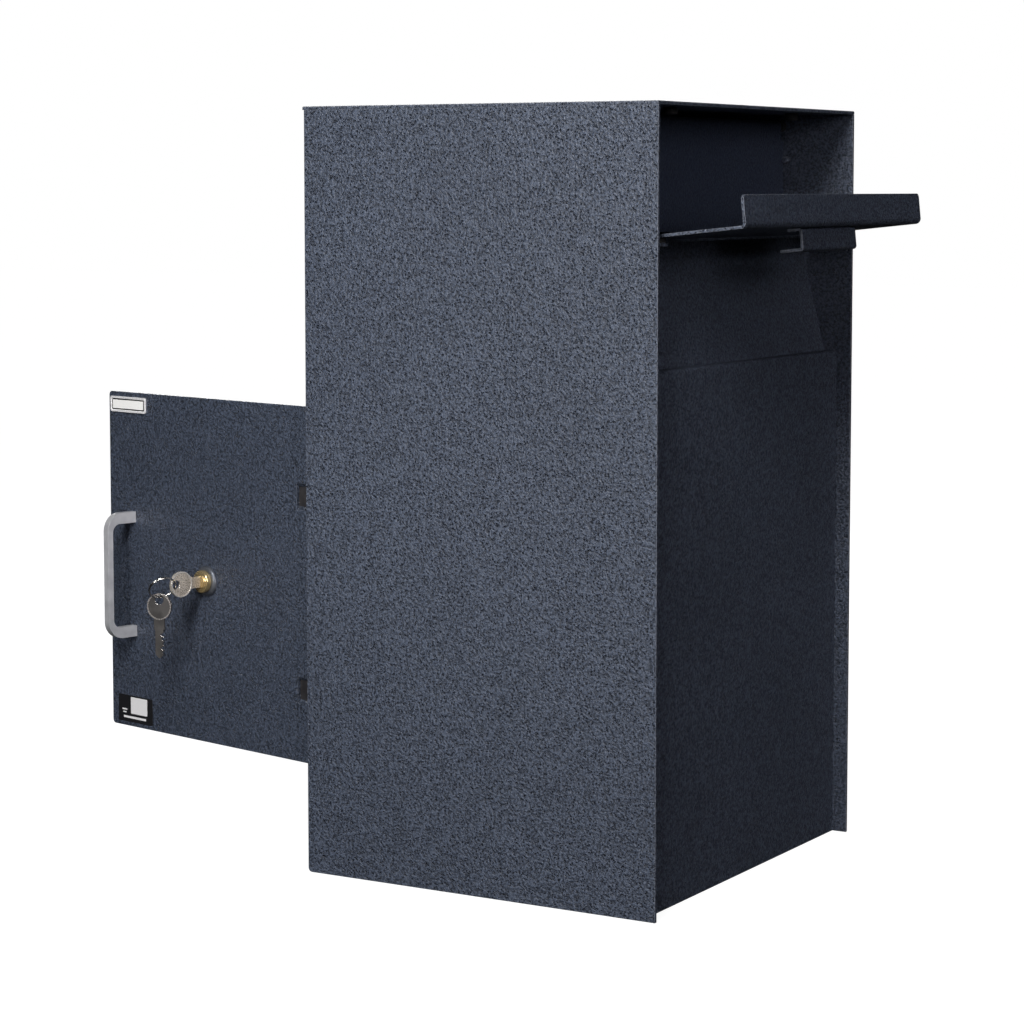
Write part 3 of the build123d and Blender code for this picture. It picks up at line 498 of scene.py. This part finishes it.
white_card = paper("label_card", (0.86, 0.86, 0.85), (0.78, 0.78, 0.77), 0.55, 0.7)
black_vinyl = paper("sticker", (0.014, 0.014, 0.016), (0.008, 0.008, 0.009), 0.28, 0.4)
white_vinyl = paper("sticker_white", (0.74, 0.74, 0.75), (0.68, 0.68, 0.69), 0.3, 0.42)
finish_node("label_card", white_card, rounding=0.0001, steps=1)
finish_node("sticker", black_vinyl, rounding=0.0001, steps=1)


def rounded_box(wide, high, corner, steps=5):
    """The outline of a rectangle with rounded corners."""
    points = []
    for sx, sy, start in ((1, 1, 0), (-1, 1, 90), (-1, -1, 180), (1, -1, 270)):
        for k in range(steps + 1):
            turn = math.radians(start + 90 * k / steps)
            points.append((
                sx * (wide / 2 - corner) + corner * math.cos(turn),
                sy * (high / 2 - corner) + corner * math.sin(turn),
            ))
    return points


label_spot = door_frame(*on_door("label_card"), -0.0009)
border_edge, border_window = rounded_box(0.0486, 0.0106, 0.0007), rounded_box(0.0462, 0.0082, 0.0004)
border = cut_sheet(label_spot, border_edge, -0.00008, 0.00002, [border_window])
piece("label_border", *border, "access_door", "sticker", [black_vinyl])
sticker_reach, sticker_height = on_door("sticker")
prints = []
for aside, lift, wide, high in (
    (-0.0055, 0.0034, 0.0250, 0.0162),
    (0.0165, -0.0012, 0.0080, 0.0013),
    (0.0165, -0.0040, 0.0050, 0.0013),
    (0.0010, -0.0084, 0.0340, 0.0022),
):
    spot = door_frame(sticker_reach + aside, sticker_height + lift, -0.0003)
    prints.append(cut_sheet(spot, rounded_box(wide, high, 0.0005), -0.0001, 0.0))
piece("sticker_print", *joined(*prints), "access_door", "label_card", [white_vinyl],
      rounding=0.00003, steps=1)

# ==================================================================== lock
# A brass cylinder lock goes through the door: a turned head over a plated trim ring, a hexagon nut behind,
# and a plug with an upright keyway that carries a steel cam on its tail.
lock_reach, lock_height = on_door("lock_trim_ring")
lock_frame = door_frame(lock_reach, lock_height, 0.0)
brass = plated("brass", (0.92, 0.74, 0.42), (0.78, 0.58, 0.28), 0.10, 0.24, metallic=0.85)
nickel = plated("nickel", (0.66, 0.60, 0.52), (0.42, 0.38, 0.33), 0.20, 0.36, metallic=0.55)
# A paler nickel for the lock key's bow rim: a painted highlight round the bow.
rim_highlight_nickel = plated("rim_highlight_nickel", (0.88, 0.85, 0.80), (0.70, 0.67, 0.62), 0.14, 0.26, metallic=0.6)
# Darker copies of the nickel for the spare key: painted shade for how it hangs, on its faces and on its rim's
# highlight.
spare_rim_shaded_highlight = plated("spare_rim_shaded_highlight", (0.30, 0.28, 0.27), (0.20, 0.19, 0.18), 0.2, 0.34, metallic=0.5)
spare_shaded_nickel = plated("spare_shaded_nickel", (0.060, 0.056, 0.054), (0.030, 0.028, 0.027), 0.30, 0.46, metallic=0.4)
dull_ring = plated("dull_ring", (0.13, 0.14, 0.16), (0.07, 0.08, 0.10), 0.3, 0.5, metallic=0.6)
head = spun(lock_frame, [
    (0.00655, 0.0160), (0.00655, -0.0090), (0.0080, -0.0090), (0.0083, -0.0087), (0.0096, -0.0087),
    (0.0101, -0.0084), (0.0104, -0.0079), (0.0105, -0.0073), (0.0105, -0.0044), (0.0103, -0.0038),
    (0.0098, -0.0034), (0.0095, -0.0034), (0.0095, 0.0160),
], 72)
piece("lock_head", *head, "access_door", "brass", [brass], rounding=0.00015, steps=1,
      stands_for=("lock_body",))
trim = spun(lock_frame, [
    (0.0095, 0.0), (0.0095, -0.0034), (0.0118, -0.0034), (0.0128, -0.0031), (0.0138, -0.0022),
    (0.01425, -0.0012), (0.01435, -0.0004), (0.0142, 0.0),
], 72)
piece("lock_dress_ring", *trim, "access_door", "nickel", [dull_ring], rounding=0.0001, steps=1,
      stands_for=("lock_trim_ring",))
finish_node("lock_plug", brass, rounding=0.0002)
finish_node("lock_nut", zinc_plate, rounding=0.0006, steps=3)
finish_node("lock_cam", zinc_plate, rounding=0.0003)
finish_node("drive_pin", bright_steel, rounding=0.0004)
cam_spot = door_frame(lock_reach, lock_height, 0.0215)
cam_head = pan_head(cam_spot, 0.004, 0.0026)
cam_shank = cut_sheet(cam_spot, ring_of(0.002, 20), -0.0025, 0.0002)
piece("cam_retaining_screw", *joined(cam_head, cam_shank), "lock_plug", "bright_steel", [bright_steel],
      rounding=0.00008, steps=1, stands_for=("cam_screw",))

# ==================================================================== bolt
# The cam's pin drives a plated steel bar sideways into the strike. Two folded straps welded to the door
# guide it.
finish_node("bolt_bar", zinc_plate, rounding=0.0005, steps=2)
finish_node("bolt_guides", powder_coat, edge_thinning_and_highlight, rounding=0.0004)

# ==================================================================== keys and ring
# Two flat keys stamped from nickelled brass, with a round bow, a shouldered neck and a milled, cut blade.
# One stands in the lock, and the spare hangs from a split ring of bright wire, two turns side by side.
key_thick = 0.0022
shoulder, bow_near, bow_far = 0.0097, 0.0189, 0.0439
tip = -0.0170
bow_middle = (bow_near + bow_far) / 2
hole_out = 0.0376


def key_outline():
    """The blank's edge: round bow, neck, blade with cuts along one edge, and a pointed tip."""
    neck, collar, half_neck, blade = bow_near + 0.0006, 0.00525, 0.0052, 0.00415
    edge = []
    for k in range(41):
        turn = math.radians(-152 + 304 * k / 40)
        edge.append((bow_middle + 0.0125 * math.cos(turn), 0.0120 * math.sin(turn)))
    edge += [(neck, half_neck), (shoulder, collar), (shoulder, blade)]
    edge += [(tip + 0.0040, blade), (tip, 0.0006), (tip, -0.0002), (tip + 0.0026, -0.0030)]
    cut_edge = -0.0041
    place = tip + 0.0046
    for depth in (0.0012, 0.0024, 0.0008, 0.0019, 0.0028):
        edge += [(place - 0.0010, cut_edge), (place, cut_edge + depth)]
        edge += [(place + 0.0013, cut_edge + depth), (place + 0.0026, cut_edge)]
        place += 0.0042
    edge += [(shoulder, -blade), (shoulder, -collar), (neck, -half_neck)]
    return edge


def key_shape(place):
    """A key's flat blank, with the hole through its bow."""
    hole = [(hole_out + x, y) for x, y in ring_of(0.0043, 32)]
    return cut_sheet(place, key_outline(), -key_thick / 2, key_thick / 2, [hole])


def bow_rim(place):
    """The coined rim that stands a little proud round both faces of the bow."""
    proud = 0.0004
    around = ring_of(1.0, 48)
    outside = [(bow_middle + 0.0124 * x, 0.0119 * y) for x, y in around]
    inside = [(bow_middle + 0.0112 * x, 0.0107 * y) for x, y in around]
    return cut_sheet(place, outside, -key_thick / 2 - proud, key_thick / 2 + proud, [inside])


def axes(x_way, y_way, z_way, spot):
    """Axes at a spot, from the three ways that they point."""
    return Matrix((
        (x_way.x, y_way.x, z_way.x, spot.x),
        (x_way.y, y_way.y, z_way.y, spot.y),
        (x_way.z, y_way.z, z_way.z, spot.z),
        (0, 0, 0, 1),
    ))


lock_centre = Vector((hinge.x, hinge.y, lock_height)) + door_along * lock_reach
in_lock = axes(-door_inward, Vector((0, 0, 1)), door_along, lock_centre)
# The key's eased edges take bright steel, a painted highlight along its edges; its rim is the paler nickel, a
# painted highlight.
piece("key_in_lock", *key_shape(in_lock), "key", "nickel", [nickel, bright_steel], rounding=0.00025,
      stands_for=("lock_key",))
piece("lock_key_rim", *bow_rim(in_lock), "key", "nickel", [rim_highlight_nickel], rounding=0.0002)

ring_hole = Vector(joints["ring_swing"]["pos_m"])
ring_low, ring_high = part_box("key_ring")
ring_centre = (ring_low + ring_high) / 2
hang_point = Vector(joints["spare_swing"]["pos_m"])
ring_mean = (hang_point - ring_centre).length
to_hole = (ring_hole - ring_centre).normalized()
to_spare = (hang_point - ring_centre).normalized()
ring_face = to_hole.cross(to_spare).normalized()
ring_side = ring_face.cross(to_hole).normalized()
wire_radius, half_gap = 0.00078, 0.00043
ring_steps, crossing_steps = 180, 14
coil = []
for k in range(ring_steps + 1):
    turn = math.radians(150 + 720 * k / ring_steps)
    shift = half_gap * max(-1.0, min(1.0, (k - ring_steps / 2) / crossing_steps))
    around = (to_hole * math.cos(turn) + ring_side * math.sin(turn)) * ring_mean
    coil.append(ring_centre + around + ring_face * shift)
piece("split_ring", *swept(coil, [wire_radius] * len(coil), 12), "ring", "bright_steel", [bright_steel],
      stands_for=("key_ring",))

wire_way = Vector(joints["spare_swing"]["axis"]).normalized()
spare_across = Matrix.Rotation(math.radians(47), 3, "Z") @ wire_way
spare_across.normalize()
up = Vector((0, 0, 1))
spare_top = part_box("spare_key")[1].z
spare_spot = Vector((hang_point.x, hang_point.y, spare_top - bow_far))
spare_frame = axes(up, spare_across.cross(up), spare_across, spare_spot)
# The spare is painted far darker than the key in the lock, as painted shade; its eased edges take bright
# steel as a painted highlight, and its rim a dimmer painted highlight.
piece("spare_key_blank", *key_shape(spare_frame), "spare", "nickel", [spare_shaded_nickel, bright_steel],
      rounding=0.00025, stands_for=("spare_key",))
piece("spare_key_rim", *bow_rim(spare_frame), "spare", "nickel", [spare_rim_shaded_highlight], rounding=0.0002)

# ==================================================================== studio
# A pale floor and a white surround that only the camera sees, and four soft lamps: the key from high on
# the left, a low fill on the left, a large weak one before the front, and one behind for the far side.
floor_reach = 14.0
floor_mesh = bpy.data.meshes.new("studio_floor")
floor_mesh.from_pydata(
    [(-floor_reach, -floor_reach, 0), (floor_reach, -floor_reach, 0),
     (floor_reach, floor_reach, 0), (-floor_reach, floor_reach, 0)],
    [], [(0, 1, 2, 3)],
)
studio_floor = bpy.data.objects.new("studio_floor", floor_mesh)
bpy.context.scene.collection.objects.link(studio_floor)
pale = Finish("pale_floor", specular=0.0)
pale.shader.inputs["Emission Color"].default_value = (1, 1, 1, 1)
distance = pale.tree.nodes.new("ShaderNodeVectorMath")
distance.operation = "LENGTH"
pale.link(pale.where, distance.inputs[0])
glow = pale.spread(distance.outputs["Value"], 0.5, 2.0, 0.94, 1.0)
pale.link(glow, pale.shader.inputs["Emission Strength"])
pale_tone = pale.grain(3.0)
floor_mesh.materials.append(pale.done(
    pale.blend(pale_tone, (0.15, 0.15, 0.15), (0.16, 0.16, 0.16)),
    pale.spread(pale_tone, 0.3, 0.7, 0.8, 0.9),
))
studio_floor.visible_diffuse = False
studio_floor.visible_glossy = False

world = bpy.data.worlds.new("studio")
bpy.context.scene.world = world
world.use_nodes = True
tree = world.node_tree
seen, felt = tree.nodes["Background"], tree.nodes.new("ShaderNodeBackground")
seen.inputs["Color"].default_value = (1, 1, 1, 1)
seen.inputs["Strength"].default_value = 1.0
felt.inputs["Color"].default_value = (0.90, 0.94, 1.0, 1)
felt.inputs["Strength"].default_value = 0.012
ray = tree.nodes.new("ShaderNodeLightPath")
pick = tree.nodes.new("ShaderNodeMixShader")
tree.links.new(ray.outputs["Is Camera Ray"], pick.inputs["Fac"])
tree.links.new(felt.outputs["Background"], pick.inputs[1])
tree.links.new(seen.outputs["Background"], pick.inputs[2])
tree.links.new(pick.outputs["Shader"], tree.nodes["World Output"].inputs["Surface"])


def softbox(name, place, aim, wide, high, power, colour, cone):
    """A rectangular lamp at a place, turned towards its aim; a narrow cone keeps its light together."""
    lamp = bpy.data.lights.new(name, "AREA")
    lamp.shape = "RECTANGLE"
    lamp.size, lamp.size_y = wide, high
    lamp.energy = power
    lamp.color = colour
    lamp.spread = math.radians(cone)
    holder = bpy.data.objects.new(name, lamp)
    bpy.context.scene.collection.objects.link(holder)
    holder.location = place
    holder.rotation_euler = (Vector(aim) - Vector(place)).to_track_quat("-Z", "Y").to_euler()


softbox("key_light", place=(-1.6, -0.38, 1.6), aim=(-0.2, -0.1, 0.5), wide=0.7, high=0.8,
        power=13.0, colour=(1.0, 0.99, 0.975), cone=100)
softbox("left_fill", place=(-1.9, 0.25, 0.55), aim=(-0.18, 0.25, 0.3), wide=0.4, high=0.5,
        power=5.3, colour=(1.0, 1.0, 1.0), cone=120)
softbox("front_fill", place=(-1.1, -2.0, 1.05), aim=(0.05, -0.17, 0.53), wide=2.2, high=2.0,
        power=5.2, colour=(1.0, 0.94, 0.94), cone=31)
softbox("rear_fill", place=(2.0, 1.5, 1.5), aim=(0.0, 0.1, 0.35), wide=1.6, high=1.6,
        power=42.0, colour=(1.0, 1.0, 1.0), cone=150)

# ==================================================================== camera
# It stands well back on the left, a little below the height of the cabinet's top, with a long lens and a
# slight look down.
camera = bpy.data.cameras.new("camera")
camera.lens = 98.97
camera.sensor_width = 36.0
camera.shift_y = -0.08
camera.clip_end = 60.0
camera_holder = bpy.data.objects.new("camera", camera)
bpy.context.scene.collection.objects.link(camera_holder)
yaw, dip = math.radians(59.29), math.radians(4.93)
ahead = Vector((math.sin(yaw) * math.cos(dip), math.cos(yaw) * math.cos(dip), -math.sin(dip)))
camera_holder.location = (-2.249, -1.256, 0.615)
camera_holder.rotation_mode = "QUATERNION"
camera_holder.rotation_quaternion = ahead.to_track_quat("-Z", "Y")
bpy.context.scene.camera = camera_holder
bpy.context.scene.view_settings.view_transform = "Standard"
